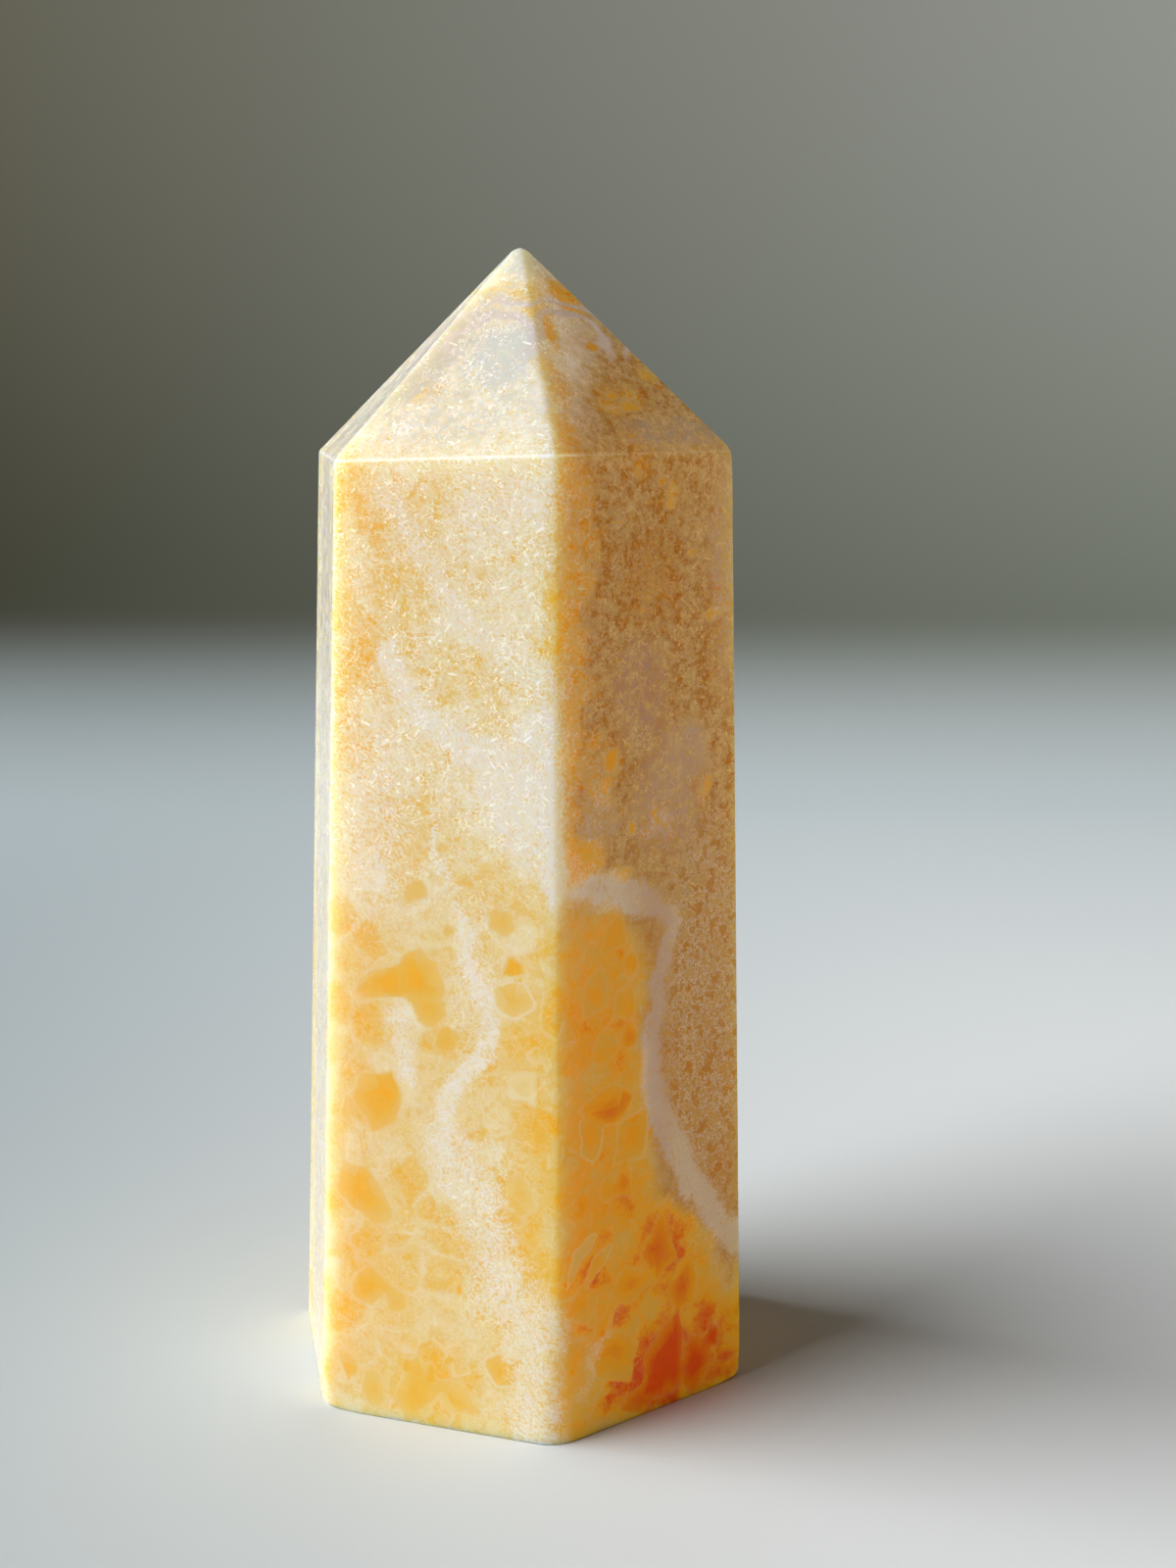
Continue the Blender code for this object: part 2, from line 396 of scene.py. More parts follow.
# Soft patches of deeper tone: where, how wide and tall, and the tone that the stone goes to.
# Later ones lie over earlier ones.
HONEY = {
    "front_left": (
        ((-6.6, 71.4), (3.8, 5.0), 0.4), ((-5.3, 69.0), (2.4, 2.6), 0.44), ((-6.8, 60.6), (4.0, 5.4), 0.45),
        ((-7.6, 58.0), (2.4, 3.4), 0.42), ((-7.4, 53.4), (2.8, 5.0), 0.41),
        ((-2.0, 70.0), (4.6, 5.0), 0.37), ((-2.6, 64.0), (5.0, 6.0), 0.38), ((2.2, 59.0), (5.0, 4.0), 0.38),
        ((-2.0, 47.0), (6.0, 6.0), 0.4), ((4.0, 43.0), (6.0, 5.0), 0.42), ((-6.4, 36.0), (5.0, 8.0), 0.4),
        ((-5.4, 22.0), (7.0, 20.0), 0.42), ((-7.6, 20.0), (2.6, 16.0), 0.42),
        ((-5.6, 12.0), (6.0, 6.0), 0.44), ((-9.3, 38.0), (2.0, 84.0), 0.26),
        ((-1.0, 3.4), (8.0, 7.0), 0.54), ((-6.5, 4.6), (4.6, 8.0), 0.42), ((7.8, 30.0), (3.0, 22.0), 0.5),
        ((7.6, 17.0), (3.4, 12.0), 0.54),
    ),
    "front_left_point": (((-2.9, 79.2), (2.6, 2.6), 0.42), ((1.0, 86.6), (6.0, 1.8), 0.4)),
    "front_right": (
        ((-8.0, 60.0), (2.6, 36.0), 0.6), ((-7.0, 69.0), (4.0, 13.0), 0.52),
        ((2.2, 71.6), (2.6, 2.4), 0.54), ((6.9, 62.8), (3.2, 3.6), 0.54), ((-1.0, 74.0), (2.2, 2.4), 0.54),
        ((0.0, 66.0), (6.0, 7.0), 0.42), ((1.2, 46.8), (3.6, 2.8), 0.56), ((5.4, 48.6), (1.8, 3.0), 0.54),
        ((-3.0, 43.2), (4.0, 1.6), 0.62), ((-7.2, 66.0), (2.6, 5.0), 0.54),
        ((-6.8, 58.4), (3.2, 3.6), 0.58), ((-4.8, 51.6), (3.8, 6.4), 0.62), ((-6.6, 45.2), (4.4, 3.6), 0.7),
        ((-5.0, 35.6), (9.0, 13.0), 0.73), ((-4.8, 24.0), (9.6, 14.0), 0.74),
        ((-4.0, 13.6), (11.0, 13.0), 0.76), ((1.8, 8.6), (10.0, 11.0), 0.82),
        ((0.6, 3.0), (15.0, 7.0), 0.9), ((0.8, 12.6), (5.0, 6.6), 0.88), ((1.8, 3.0), (8.6, 6.4), 1.0),
        ((6.6, 3.0), (4.4, 6.0), 0.92), ((-7.4, 3.4), (4.4, 9.0), 0.66),
    ),
    "front_right_point": (
        ((4.6, 80.4), (2.4, 2.2), 0.6), ((0.0, 78.8), (5.4, 3.0), 0.58), ((-0.8, 75.8), (2.0, 2.2), 0.58),
        ((-2.7, 84.0), (1.8, 4.0), 0.58), ((-5.0, 80.0), (2.2, 4.6), 0.54),
        ((-7.2, 76.6), (2.4, 4.0), 0.54), ((1.5, 86.2), (3.4, 4.4), 0.76),
    ),
    "right": (((-6.0, 5.0), (9.0, 11.0), 0.8), ((3.0, 24.0), (10.0, 16.0), 0.56)),
    "back_right": (((-2.0, 12.0), (13.0, 20.0), 0.66), ((4.0, 52.0), (6.0, 8.0), 0.5)),
    "back_left": (((4.0, 18.0), (12.0, 22.0), 0.56),),
    "left": (((-3.0, 30.0), (10.0, 16.0), 0.44), ((3.0, 8.0), (12.0, 12.0), 0.5)),
}

# Soft patches of one character: where, how wide and tall, and how strong it is
PATCHES = {
    "milky": {
        "front_left": (
            ((6.8, 49.6), (5.6, 8.4), 0.66), ((5.6, 72.2), (8.0, 6.0), 0.4),
            ((-5.8, 47.5), (6.0, 15.0), 0.4),
        ),
        # On the left side and its facet of the point the milk is painted reflection, the greyish white of a
        # glancing reflection
        "left": (((1.6, 40.0), (12.0, 110.0), 0.8),),
        "left_point": (((5.0, 80.0), (6.0, 20.0), 1.0),),
        "front_left_point": (
            ((2.6, 81.8), (5.0, 6.6), 0.9), ((0.0, 79.0), (14.0, 10.0), 0.42),
            ((1.0, 89.4), (6.0, 3.4), 0.8),
        ),
        "front_right": (
            ((3.6, 51.9), (4.4, 5.0), 0.5), ((1.4, 48.6), (6.0, 7.0), 0.45),
            ((-5.0, 48.2), (3.4, 4.0), 0.4), ((8.0, 66.0), (3.0, 18.0), 0.35),
            ((-0.9, 57.0), (5.0, 7.0), 0.42),
        ),
        "front_right_point": (((4.0, 76.0), (10.0, 3.0), 0.4),),
    },
    "lilac": {
        "front_right": (
            ((-0.9, 57.0), (6.0, 8.0), 1.0), ((1.6, 50.0), (7.0, 9.0), 0.6),
            ((0.6, 34.0), (3.0, 30.0), 0.6),
        ),
    },
    # Grey of a painted glancing reflection over the left side and its facet of the point
    "grey": {
        "left": (((1.6, 40.0), (12.0, 110.0), 0.85),),
        "left_point": (((5.0, 80.0), (5.6, 20.0), 1.0),),
    },
    "sugar": {
        "front_left": (
            ((3.6, 19.4), (6.0, 7.0), 0.6), ((5.6, 11.6), (6.0, 6.0), 0.6), ((8.4, 1.6), (4.6, 5.0), 0.6),
            ((3.0, 35.0), (3.4, 14.0), 0.4),
        ),
        "front_right": (((5.6, 31.0), (9.0, 28.0), 0.8),),
    },
}

# Painted warm shade, partly the stone's own warmer tone: the side turned from the window is tinted
# tan rather than cream towards this compass angle, from so far out and over so much, and less so
# where the stone between the crystals is deeper than a tone
TAN_SHADE_FACES = 85.0
TAN_SHADE_STARTS = 3.4
TAN_SHADE_WIDTH = 4.4
TAN_SHADE_TONE = 0.4
TAN_SHADE_FADE = 0.25

# The tone between the crystals, how it deepens below one height and how it pales above another
GROUND_TONE = 0.24
DEEPER = dict(below=46.0, over=20.0, by=0.13)
PALER = dict(above=72.0, over=5.0, by=0.1)
HONEY_SHARE = 0.9
CLOUD_SHARE = 0.09

# Every crystal has a few flat faces, none of them quite regular
CRYSTAL_FACES = (4, 7)
FACE_TURN = 0.3
FACE_OUT = (0.82, 1.0)
CRYSTAL_DEPTH = 1.4
NO_CRYSTAL = 6.0

# Seeded growth for the sides that the photograph doesn't show, with the deepest tone on each
HIDDEN_DEEPEST = {"right": 0.9, "back_right": 0.85, "back_left": 0.75, "left": 0.56}
HIDDEN = dict(count=26, top=46.0, crowding=1.2, across=8.5, width=(1.0, 4.2), stretch=(0.8, 1.6),
              palest=0.48, turn=45.0, rimmed=0.3)

# How far out a trail and a patch fade, where their own half width is 1
TRAIL_MARGIN = 1.7
PATCH_MARGIN = 1.6

# Sizes of the waves that bend the growth, in millimetres, and how far they push each thing
WANDER, FLUTTER, DRIFT, CLOUD = 2.2, 0.95, 1.1, 4.0
VEIN_PUSH = (0.55, 0.42)
CRYSTAL_PUSH = (0.24, 0.14)
GRAIN_PUSH = (0.45, 0.14)
GROUND_PUSH = 0.6
# How close to the shoulder's edge, in millimetres, its painted highlight reaches
SHOULDER_LINE = 0.12


def entries(table, *values):
    """Every row of a table, in order, as its facet's name and its named values."""
    return [dict(zip(values, row), facet=facet) for facet, rows in table.items() for row in rows]


def facet_frame(planes, facet):
    """Right, up and outward unit vectors of a facet."""
    outward = planes[0][FACETS.index(facet)]
    right = np.cross([0.0, 0.0, 1.0], outward)
    right /= np.linalg.norm(right)
    return right, np.cross(outward, right), outward


def place_on_facet(planes, facet, at):
    """Point on a facet, from millimetres across and millimetres up."""
    outward, distance = (part[FACETS.index(facet)] for part in planes)
    level = np.array([outward[0], outward[1], 0.0])
    reach = np.linalg.norm(level)
    out = (distance - outward[2] * at[1]) / reach
    across = np.cross([0.0, 0.0, 1.0], level / reach)
    return across * at[0] + level / reach * out + np.array([0.0, 0.0, at[1]])


def grown_elsewhere(chance):
    """Crystals for the hidden sides, drawn like those on the sides that show."""
    crystals = []
    for side, deepest in HIDDEN_DEEPEST.items():
        for _ in range(HIDDEN["count"]):
            up = HIDDEN["top"] * chance.random() ** HIDDEN["crowding"]
            wide = chance.uniform(*HIDDEN["width"])
            across = chance.uniform(-HIDDEN["across"], HIDDEN["across"])
            tall = wide * chance.uniform(*HIDDEN["stretch"])
            crystal = dict(facet=side, at=(across, up), size=(wide, tall))
            crystal["tone"] = chance.uniform(HIDDEN["palest"], deepest)
            crystal["turn"] = chance.uniform(-HIDDEN["turn"], HIDDEN["turn"])
            crystal["rim"] = float(chance.random() < HIDDEN["rimmed"])
            crystals.append(crystal)
    return crystals


def crystal_distance(points, planes, crystal, chance):
    """Distance in millimetres to a crystal with flat faces; inside is negative."""
    right, up, outward = facet_frame(planes, crystal["facet"])
    turn = math.radians(crystal.get("turn", 0.0))
    wide = right * math.cos(turn) + up * math.sin(turn)
    tall = up * math.cos(turn) - right * math.sin(turn)
    away = points - place_on_facet(planes, crystal["facet"], crystal["at"])
    half = np.array(crystal["size"]) / 2
    flat = np.stack([away @ wide / half[0], away @ tall / half[1]], axis=1)
    faces = chance.integers(*CRYSTAL_FACES)
    start = chance.uniform(0.0, 2 * math.pi)
    distance = np.full(len(points), -1.0)
    for face in range(faces):
        angle = start + (face + chance.uniform(-FACE_TURN, FACE_TURN)) * 2 * math.pi / faces
        side = flat @ np.array([math.cos(angle), math.sin(angle)])
        distance = np.maximum(distance, side - chance.uniform(*FACE_OUT))
    depth = np.abs(away @ outward) / half.mean() - CRYSTAL_DEPTH
    return np.maximum(distance, depth) * half.mean()


def nearest_crystals(points, planes):
    """Distance to the nearest crystal, its tone, and how milky its rim is."""
    chance = np.random.default_rng(SEED)
    nearest = np.full(len(points), NO_CRYSTAL)
    tone, rim = np.full(len(points), 0.5), np.zeros(len(points))
    for crystal in entries(CRYSTALS, "at", "size", "tone", "turn", "rim") + grown_elsewhere(chance):
        distance = crystal_distance(points, planes, crystal, chance)
        closer = distance < nearest
        nearest = np.where(closer, distance, nearest)
        tone = np.where(closer, crystal["tone"], tone)
        rim = np.where(closer, crystal.get("rim", 0.0), rim)
    return nearest, tone, rim


def trail_density(points, planes):
    """How milky each point is from the trails: the strongest of them, softer at the margins."""
    dense = np.zeros(len(points))
    for trail in entries(TRAILS, "through", "width", "dense"):
        stops = np.array([place_on_facet(planes, trail["facet"], at) for at in trail["through"]])
        widths = np.linspace(*trail["width"], len(stops))
        for start, end, wide_start, wide_end in zip(stops[:-1], stops[1:], widths[:-1], widths[1:]):
            run = end - start
            share = np.clip((points - start) @ run / (run @ run), 0.0, 1.0)
            away = np.linalg.norm(points - start - share[:, None] * run, axis=1)
            half = (wide_start + (wide_end - wide_start) * share) / 2
            dense = np.maximum(dense, trail["dense"] * smooth(TRAIL_MARGIN - away / half))
    return dense


def patch_weight(points, planes, patch):
    """How much each point is in a soft patch, from 0 to 1."""
    right, up, outward = facet_frame(planes, patch["facet"])
    away = points - place_on_facet(planes, patch["facet"], patch["at"])
    half = np.array(patch["size"]) / 2
    across, along = away @ right / half[0], away @ up / half[1]
    inward = away @ outward / half.min()
    return smooth(PATCH_MARGIN - np.sqrt(across ** 2 + along ** 2 + inward ** 2))


def patch_amount(points, planes, kind):
    """How much of one character each point has from the soft patches."""
    total = np.zeros(len(points))
    for patch in entries(PATCHES[kind], "at", "size", "amount"):
        total = np.maximum(total, patch["amount"] * patch_weight(points, planes, patch))
    return total


def ground_tone(points, planes, clouds):
    """Tone of the stone between its crystals: pale sugar above, honey below, deeper in patches."""
    height = points[:, 2]
    tone = GROUND_TONE + DEEPER["by"] * smooth((DEEPER["below"] - height) / DEEPER["over"])
    tone -= PALER["by"] * smooth((height - PALER["above"]) / PALER["over"])
    for patch in entries(HONEY, "at", "size", "tone"):
        tone += (patch["tone"] - tone) * HONEY_SHARE * patch_weight(points, planes, patch)
    return tone + CLOUD_SHARE * clouds


def shoulder_line(points, planes):
    """Closeness to the edge where the sides turn into the point, from 0 to 1: the mask of a painted
    highlight.
    """
    normals, distances = planes
    apart = points @ normals.T - distances
    between = np.abs(apart[:, SIDES].max(axis=1) - apart[:, POINT].max(axis=1))
    return smooth(1.0 - between / SHOULDER_LINE)


def waves(points, size):
    """A smooth random push for each point, whose waves have a size in millimetres."""
    return np.array([noise.noise_vector(Vector(point) / size) for point in points])


def record_growth(mesh, points, planes):
    """Write what grew where into the mesh, with the masks of the painted shade and the painted shoulder
    highlight, by names that the material reads.
    """
    # Vector noise starts from the clock unless it is given a seed
    noise.seed_set(SEED)
    wander, flutter, drift = (waves(points, size) for size in (WANDER, FLUTTER, DRIFT))
    clouds = np.array([noise.fractal(Vector(point) / CLOUD, 0.9, 2.0, 3) for point in points])
    moved = points + VEIN_PUSH[0] * wander + VEIN_PUSH[1] * flutter
    growth = dict(zip(("crystal_distance", "crystal_tone", "crystal_rim"), nearest_crystals(
        points + CRYSTAL_PUSH[0] * wander + CRYSTAL_PUSH[1] * flutter, planes)))
    growth["trail"] = trail_density(moved, planes)
    for kind in PATCHES:
        growth[kind] = patch_amount(moved, planes, kind)
    growth["ground"] = ground_tone(moved + GROUND_PUSH * wander, planes, clouds)
    # Painted shade: the mask of the tan tint on the side turned from the window
    shaded = smooth((moved @ heading(TAN_SHADE_FACES) - TAN_SHADE_STARTS) / TAN_SHADE_WIDTH)
    growth["tan"] = shaded * smooth(1.0 - (growth["ground"] - TAN_SHADE_TONE) / TAN_SHADE_FADE)
    growth["shoulder"] = shoulder_line(points, planes)
    for name in GROWTH_AND_PAINT_MASKS:
        attribute = mesh.attributes.new(name, "FLOAT", "POINT")
        attribute.data.foreach_set("value", growth[name].astype(np.float32))
    bent = mesh.attributes.new("grown", "FLOAT_VECTOR", "POINT")
    grown = points + GRAIN_PUSH[0] * wander + GRAIN_PUSH[1] * drift
    bent.data.foreach_set("vector", grown.astype(np.float32).ravel())


# Materials

# Names of what grew, with the masks of the painted shade and the painted shoulder highlight
GROWTH_AND_PAINT_MASKS = (
    "crystal_distance", "crystal_tone", "crystal_rim", "trail",
    "milky", "lilac", "grey", "sugar", "tan", "ground", "shoulder",
)

# Grain sizes in the stone, in millimetres. Real cleavage fibres and needles are a third as wide
# and would not show in the render, so they are drawn this coarse.
BLOCK = 2.7
GRAIN = 0.95
MOTTLE = 0.9
CURL = 0.62
FIBRE_LONG = 0.5
FIBRE_THICK = 0.19
NEEDLE_SPACING = 0.8
NEEDLE_HALF_WIDTH = (0.13, 0.05)
NEEDLE_HALF_LENGTH = (0.5, 0.3)

# Heights, in millimetres, between which coarse crystals give way to sugar, the milk goes greyer
# on the point, and the growth bands start
SUGAR = (38.0, 50.0)
POINT_STARTS = (74.6, 76.0)
BANDS_START = (81.0, 82.5)

# The growth bands are shells about a centre: where they start and end, and waves a millimetre
BAND_CENTRE = (0.5, -2.0, 76.5)
BAND_INNER = (8.6, 9.1)
BAND_OUTER = (10.2, 9.9)
BAND_WAVES = 9.0

# Calcite's own refraction, a soft polish, and how far red, green and blue light sink in. The
# depths are times one millimetre, and at the foot times a share of it.
CALCITE_IOR = 1.58
GLOSS = 0.1
SINKS = (8.0, 5.6, 1.6)
FOOT_SINKS = 0.25
FOOT_TOP = 8.0

TONES = (
    (0.0, "#EFEADF"), (0.2, "#E8DCBC"), (0.4, "#E4CA88"),
    (0.6, "#E8BA4C"), (0.78, "#F4AE14"), (1.0, "#E65600"),
)
MILKY = "#E8E2D6"
POINT_MILKY = "#CFD0CA"
# Grey of the painted glancing reflection on the left side
REFLECTION_GREY = "#C9C3B4"
HONEY_PALE = "#F4D48C"
# Bands on the lit side, and painted paler on the shaded side to make up for its shade
BAND_ON_CREAM = "#D4C8C3"
BAND_PALER_IN_SHADE = "#E2D5D0"
LILAC = "#D6BDB2"
# Colours of the painted warm shade on the side turned from the window
TAN_SHADE_PALE = "#F2DCB0"
TAN_SHADE_DEEP = "#CE964A"
# Colours of the painted glints, and their warmer copy for the painted shade
SPARKLE = "#FFFDF6"
SPARKLE_IN_SHADE = "#F2D29C"
WHITE = "#FFFFFF"

EASED = dict(interpolation_type="SMOOTHSTEP")
COLOURS = dict(data_type="RGBA")
TINTS = dict(data_type="RGBA", blend_type="MULTIPLY")


def linear(code):
    """Turn an sRGB hex colour into the linear colour that Blender uses."""
    channels = [int(code[start:start + 2], 16) / 255 for start in (1, 3, 5)]
    return tuple(c / 12.92 if c <= 0.04045 else ((c + 0.055) / 1.055) ** 2.4 for c in channels) + (1.0,)


def add(tree, kind, feeds=(), **settings):
    """Add one node. Settings are its own properties; feeds are its inputs, by name or in order.

    A feed is a plain value, another node, whose first output is used, or one output of a node.
    A map range takes a value, its two ends, and what it gives there, or 0 and 1 if left out. A
    mix takes its share, then what it gives at 0 and at 1.
    """
    made = tree.nodes.new("ShaderNode" + kind)
    for name, value in settings.items():
        setattr(made, name, value)
    ready = [socket for socket in made.inputs if socket.enabled]
    named = feeds.items() if isinstance(feeds, dict) else enumerate(feeds)
    for name, feed in named:
        socket = ready[name] if isinstance(name, int) else next(s for s in ready if s.name == name)
        if isinstance(feed, bpy.types.Node):
            feed = next(output for output in feed.outputs if output.enabled)
        if isinstance(feed, bpy.types.NodeSocket):
            tree.links.new(feed, socket)
        else:
            socket.default_value = feed
    return made


def polished_calcite():
    """Orange calcite, lapped and polished: a glossy skin over a body that light sinks into.

    The eye sees honey and orange crystals with milky seams, a sugary grain above them, and a
    warm glow where light has come through an edge. Glints in the sugar, a highlight along the
    shoulder, warm shade on the side turned from the window and a grey reflection on the left side
    are painted into its colour.
    """
    material = bpy.data.materials.new("polished_orange_calcite")
    material.use_nodes = True
    tree = material.node_tree
    shader = tree.nodes["Principled BSDF"]
    put = partial(add, tree)

    place = put("TexCoord").outputs["Object"]
    here = put("VectorMath", {0: place, "Scale": 1 / MM}, operation="SCALE")
    height = put("SeparateXYZ", (here,)).outputs["Z"]
    bent = put("Attribute", attribute_name="grown").outputs["Vector"]
    read = {name: put("Attribute", attribute_name=name).outputs["Fac"] for name in GROWTH_AND_PAINT_MASKS}

    # Coarse crystals low down, sugar higher up and in the sugary patches
    lowness = put("MapRange", (height, *SUGAR, 1.0, 0.0), **EASED)
    coarse = put("Math", (lowness, read["sugar"]), operation="SUBTRACT", use_clamp=True)
    sugary = put("Math", (1.0, coarse), operation="SUBTRACT", use_clamp=True)

    # Two sizes of crystal: each cell has its own random colour and its own seam
    blocks = put("TexVoronoi", {"Vector": bent, "Scale": 1 / BLOCK})
    block_seam = put("TexVoronoi", {"Vector": bent, "Scale": 1 / BLOCK}, feature="DISTANCE_TO_EDGE")
    grains = put("TexVoronoi", {"Vector": bent, "Scale": 1 / GRAIN})
    block_chance = put("SeparateColor", (blocks.outputs["Color"],))
    grain_chance = put("SeparateColor", (grains.outputs["Color"],))

    # Fibres: in each grain the cleavage runs its own way, and shows as fine light and dark streaks
    turned = put("VectorMath", (grains.outputs["Color"], (0.5, 0.5, 0.5)), operation="SUBTRACT")
    turn = put("Math", (grain_chance.outputs[1], 6.28), operation="MULTIPLY")
    run = put("VectorRotate", {"Vector": here, "Axis": turned, "Angle": turn})
    finer = (1 / FIBRE_LONG, 1 / FIBRE_THICK, 1 / FIBRE_THICK)
    run = put("VectorMath", (run, finer), operation="MULTIPLY")
    fibre = put("TexNoise", {"Vector": run, "Scale": 1.0, "Detail": 1.0, "Roughness": 0.5})
    fibre_share = put("MapRange", (sugary, 0.0, 1.0, 0.3, 1.0))
    fibre_tone = put("MapRange", (fibre, 0.3, 0.7, 0.12, -0.14))
    fibre_tone = put("Math", (fibre_tone, fibre_share), operation="MULTIPLY")

    # Mottle: cloudy patches about a millimetre across, with finer ones in them
    mottle = put("TexNoise", {"Vector": here, "Scale": 1 / MOTTLE, "Detail": 3.0, "Roughness": 0.7})
    rough = put("Math", (fibre, mottle), operation="ADD")

    # Curls: the edges of small broken crystals, partly the cleavage's own line and partly painted light:
    # each a painted pale glint with a painted darker shade line beside it
    curl = put("TexNoise", {"Vector": here, "Scale": 1 / CURL, "Detail": 1.6, "Roughness": 0.6})
    curl_share = put("MapRange", (sugary, 0.0, 1.0, 0.07, 0.7))
    curl_breaks = put("MapRange", (grain_chance.outputs[0], 0.25, 0.75))
    curl_share = put("Math", (curl_share, curl_breaks), operation="MULTIPLY")
    curls = []
    for middle, outer, inner in ((0.5, 0.035, 0.005), (0.565, 0.045, 0.01)):
        line = put("Math", (curl, middle), operation="SUBTRACT")
        line = put("Math", (line,), operation="ABSOLUTE")
        line = put("MapRange", (line, outer, inner), **EASED)
        curls.append(put("Math", (line, curl_share), operation="MULTIPLY"))
    curl_glint, curl_shade = curls

    # Tone of the ground between the placed crystals: fibres, curls, blocks, mottle and flecks
    curl_shade_tone = put("Math", (curl_shade, 0.2), operation="MULTIPLY")
    block_swing = put("MapRange", (block_chance.outputs[0], 0.0, 1.0, -0.15, 0.17))
    off_seam = put("MapRange", (block_seam, 0.0, 0.22), **EASED)
    for share in (coarse, off_seam):
        block_swing = put("Math", (block_swing, share), operation="MULTIPLY")
    mottle_swing = put("MapRange", (mottle, 0.3, 0.7, -0.12, 0.12))
    mottle_share = put("MapRange", (sugary, 0.0, 1.0, 0.6, 1.0))
    mottle_swing = put("Math", (mottle_swing, mottle_share), operation="MULTIPLY")
    fleck = put("MapRange", (grain_chance.outputs[2], 0.7, 0.95))
    soft_grain = put("MapRange", (grains.outputs["Distance"], 0.55, 0.2), **EASED)
    # Flecks show more strongly where the warm shade is painted
    depth = put("MapRange", (read["tan"], 0.0, 1.0, 0.12, 0.22))
    for share in (soft_grain, depth, sugary):
        fleck = put("Math", (fleck, share), operation="MULTIPLY")
    ground = read["ground"]
    for change in (fibre_tone, curl_shade_tone, block_swing, mottle_swing, fleck):
        ground = put("Math", (ground, change), operation="ADD")

    # Placed crystals, with soft margins that follow the grain
    ragged = put("MapRange", (grain_chance.outputs[0], 0.0, 1.0, -0.1, 0.1))
    edge = put("Math", (read["crystal_distance"], ragged), operation="ADD")
    inside = put("MapRange", (edge, 0.2, -0.28), **EASED)
    outside = put("Math", (1.0, inside), operation="SUBTRACT")
    own_tone = put("Math", (fibre_tone, 0.3), operation="MULTIPLY")
    deep = put("MapRange", (edge, 0.0, -1.4, -0.1, 0.04))
    facet = put("MapRange", (block_chance.outputs[1], 0.0, 1.0, -0.08, 0.05))
    for change in (deep, read["crystal_tone"], facet):
        own_tone = put("Math", (own_tone, change), operation="ADD")
    tone = put("Mix", (inside, ground, own_tone))
    colour = put("ValToRGB", (tone,))
    ramp = colour.color_ramp
    while len(ramp.elements) < len(TONES):
        ramp.elements.new(0.5)
    for element, (position, code) in zip(ramp.elements, TONES):
        element.position = position
        element.color = linear(code)

    # Painted warm shade, partly the stone's own warmer tone: tan rather than cream towards the right,
    # the side turned from the window, with browner fibres
    brown = put("MapRange", (rough, 0.75, 1.25))
    calm = put("Math", (lowness, 0.6), operation="MULTIPLY")
    brown = put("Mix", (calm, brown, 0.45))
    tan_shade_colours = put("Mix", (brown, linear(TAN_SHADE_PALE), linear(TAN_SHADE_DEEP)), **COLOURS)
    tan_shade_share = put("MapRange", (inside, 0.0, 1.0, 1.0, 0.25))
    tan_shade_share = put("Math", (tan_shade_share, read["tan"]), operation="MULTIPLY")
    warm = put("Mix", (tan_shade_share, linear(WHITE), tan_shade_colours), **COLOURS)
    colour = put("Mix", (1.0, colour, warm), **TINTS)

    # Milky seams between coarse crystals, in broken lengths and never inside a placed crystal
    seam = put("MapRange", (block_seam, 0.07, 0.0), **EASED)
    broken = put("MapRange", (grain_chance.outputs[1], 0.3, 1.0, 0.0, 0.34))
    for share in (coarse, broken, outside):
        seam = put("Math", (seam, share), operation="MULTIPLY")

    # Milky rims round some of the placed crystals
    rim = put("Math", (edge,), operation="ABSOLUTE")
    rim = put("MapRange", (rim, 0.22, 0.03), **EASED)
    rim_share = put("MapRange", (read["crystal_rim"], 0.0, 1.0, 0.14, 0.4))
    rim = put("Math", (rim, rim_share), operation="MULTIPLY")

    # Milky trails and patches, uneven in the grain's own way
    milky = put("Math", (read["milky"], read["trail"]), operation="MAXIMUM")
    uneven = put("MapRange", (rough, 0.75, 1.25, -0.45, 0.45))
    uneven = put("Math", (uneven, milky), operation="ADD")
    uneven = put("MapRange", (uneven, 0.1, 0.9))
    faded = put("MapRange", (milky, 0.0, 0.2))
    veiled = put("Math", (uneven, faded), operation="MULTIPLY")

    # Lace: thin pale lines that wander through the sugar
    lace = put("Math", (mottle, 0.5), operation="SUBTRACT")
    lace = put("Math", (lace,), operation="ABSOLUTE")
    lace = put("MapRange", (lace, 0.04, 0.005), **EASED)
    lace_share = put("Math", (read["sugar"], read["trail"]), operation="MAXIMUM")
    lace_share = put("MapRange", (lace_share, 0.0, 0.8, 0.22, 0.9))
    for share in (lace_share, outside):
        lace = put("Math", (lace, share), operation="MULTIPLY")

    # The milk over the stone: the densest of these, thinner over deep ground, and its colour
    for layer in (seam, lace):
        veiled = put("Math", (veiled, layer), operation="MAXIMUM")
    clouded = put("MapRange", (read["ground"], 0.5, 0.75, 1.0, 0.3))
    veiled = put("Math", (veiled, clouded), operation="MULTIPLY")
    veiled = put("Math", (veiled, rim), operation="MAXIMUM", use_clamp=True)
    on_point = put("MapRange", (height, *POINT_STARTS))
    milk = linear(MILKY)
    # The milk goes greyer on the point, lilac in the vein, and grey where reflection is painted on the left
    # side
    for share, code in ((on_point, POINT_MILKY), (read["lilac"], LILAC), (read["grey"], REFLECTION_GREY)):
        milk = put("Mix", (share, milk, linear(code)), **COLOURS)
    # The milk takes half the painted warm shade as well
    milk = put("Mix", (0.5, milk, warm), **TINTS)
    honeyed = put("MapRange", (read["ground"], 0.55, 0.75))
    milk = put("Mix", (honeyed, milk, linear(HONEY_PALE)), **COLOURS)
    colour = put("Mix", (veiled, colour, milk), **COLOURS)

